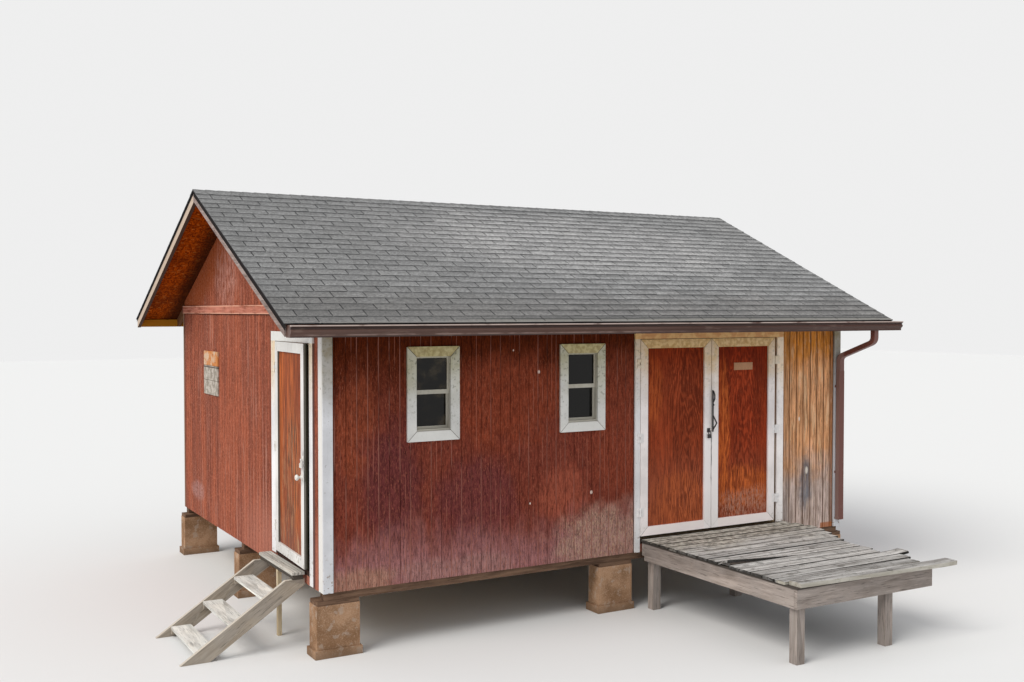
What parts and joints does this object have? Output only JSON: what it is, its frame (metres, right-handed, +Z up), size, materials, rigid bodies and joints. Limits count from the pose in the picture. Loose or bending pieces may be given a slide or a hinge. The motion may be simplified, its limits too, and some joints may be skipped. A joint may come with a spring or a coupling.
{
  "type": "boathouse",
  "caption": "Timber boathouse on block piers with grooved plywood walls, a gable roof with open eaves, double doors with a landing, and a side door with steps.",
  "frame": {"origin": "on the ground under the middle of the building, at the bottom of the middle pier", "axes": "+X along the front wall towards the downspout corner, +Y from the front wall to the back, +Z up"},
  "size_m": [7.5981, 7.6122, 4.2073],
  "materials": {
    "concrete_pad": "rough cast",
    "concrete_block": "rough cast",
    "dark_lumber": "dark stained",
    "framing_lumber": "sawn",
    "plywood": "sawn",
    "red_siding_front": "weathered red stain",
    "red_siding_gable": "sun faded red stain",
    "bare_siding": "bare, weathered",
    "strand_board": "bare",
    "asphalt_shingle": "mineral granules",
    "weathered_lumber": "weathered grey",
    "white_trim": "weathered white paint",
    "brown_metal": "brown enamel",
    "window_glass": "clear",
    "painted_hinge": "white paint, worn",
    "black_iron": "black paint",
    "red_door_panel": "red stain",
    "side_door_panel": "faded red stain"
  },
  "bodies": {
    "building": {"pier_pads": "concrete_pad", "pier_lower_blocks": "concrete_block", "pier_upper_blocks": "concrete_block", "pier_shims": "dark_lumber", "floor_beams": "dark_lumber", "floor_joists": "framing_lumber", "floor_rims": "framing_lumber", "floor_deck": "plywood", "siding_front_left": "red_siding_front", "siding_front_right": "bare_siding", "siding_at_doors": "red_siding_front", "siding_left": "red_siding_gable", "siding_right": "red_siding_gable", "siding_back": "red_siding_front", "gable_siding": "red_siding_gable", "sole_plates": "framing_lumber", "wall_studs": "framing_lumber", "headers_and_sills": "framing_lumber", "top_plates": "framing_lumber", "rafters": "framing_lumber", "ridge_board": "framing_lumber", "roof_deck_front": "strand_board", "roof_deck_back": "strand_board", "shingles_front": "asphalt_shingle", "shingles_back": "asphalt_shingle", "ridge_shingles": "asphalt_shingle", "fascia_boards": "dark_lumber", "barge_boards": "weathered_lumber", "gable_bands": "red_siding_gable", "corner_boards": "white_trim", "gutter_back": "brown_metal", "gutter_floor": "brown_metal", "gutter_front": "brown_metal", "gutter_ends": "brown_metal", "downspout": "brown_metal", "window_casings": "white_trim", "window_frames": "white_trim", "window_sashes": "white_trim", "window_glass": "window_glass", "door_side_casings": "white_trim", "door_head_casings": "white_trim", "step_stringers": "weathered_lumber", "step_treads": "weathered_lumber", "step_post": "framing_lumber", "landing_boards": "weathered_lumber", "landing_frame": "weathered_lumber", "landing_posts": "weathered_lumber", "sign_boards": "weathered_lumber", "hinge_jamb_plates": "painted_hinge"},
    "left_leaf": {"left_leaf_panel": "red_door_panel", "left_leaf_frame": "white_trim", "left_leaf_hardware": "black_iron"},
    "right_leaf": {"right_leaf_panel": "red_door_panel", "right_leaf_frame": "white_trim", "right_leaf_hardware": "black_iron"},
    "side_door": {"side_door_panel": "side_door_panel", "side_door_frame": "white_trim", "side_door_hardware": "painted_hinge"}
  },
  "joints": [
    {"name": "left_leaf_hinge", "type": "hinge", "parent": "building", "child": "left_leaf", "pos_m": [0.2785, -2.469, 1.9835], "axis": [0, 0, -1], "range_deg": [0, 110]},
    {"name": "right_leaf_hinge", "type": "hinge", "parent": "building", "child": "right_leaf", "pos_m": [2.068, -2.469, 1.9835], "axis": [0, 0, 1], "range_deg": [0, 110]},
    {"name": "side_door_hinge", "type": "hinge", "parent": "building", "child": "side_door", "pos_m": [-3.0785, -1.2315, 1.9835], "axis": [0, 0, -1], "range_deg": [-2.5, 107.5]}
  ]
}
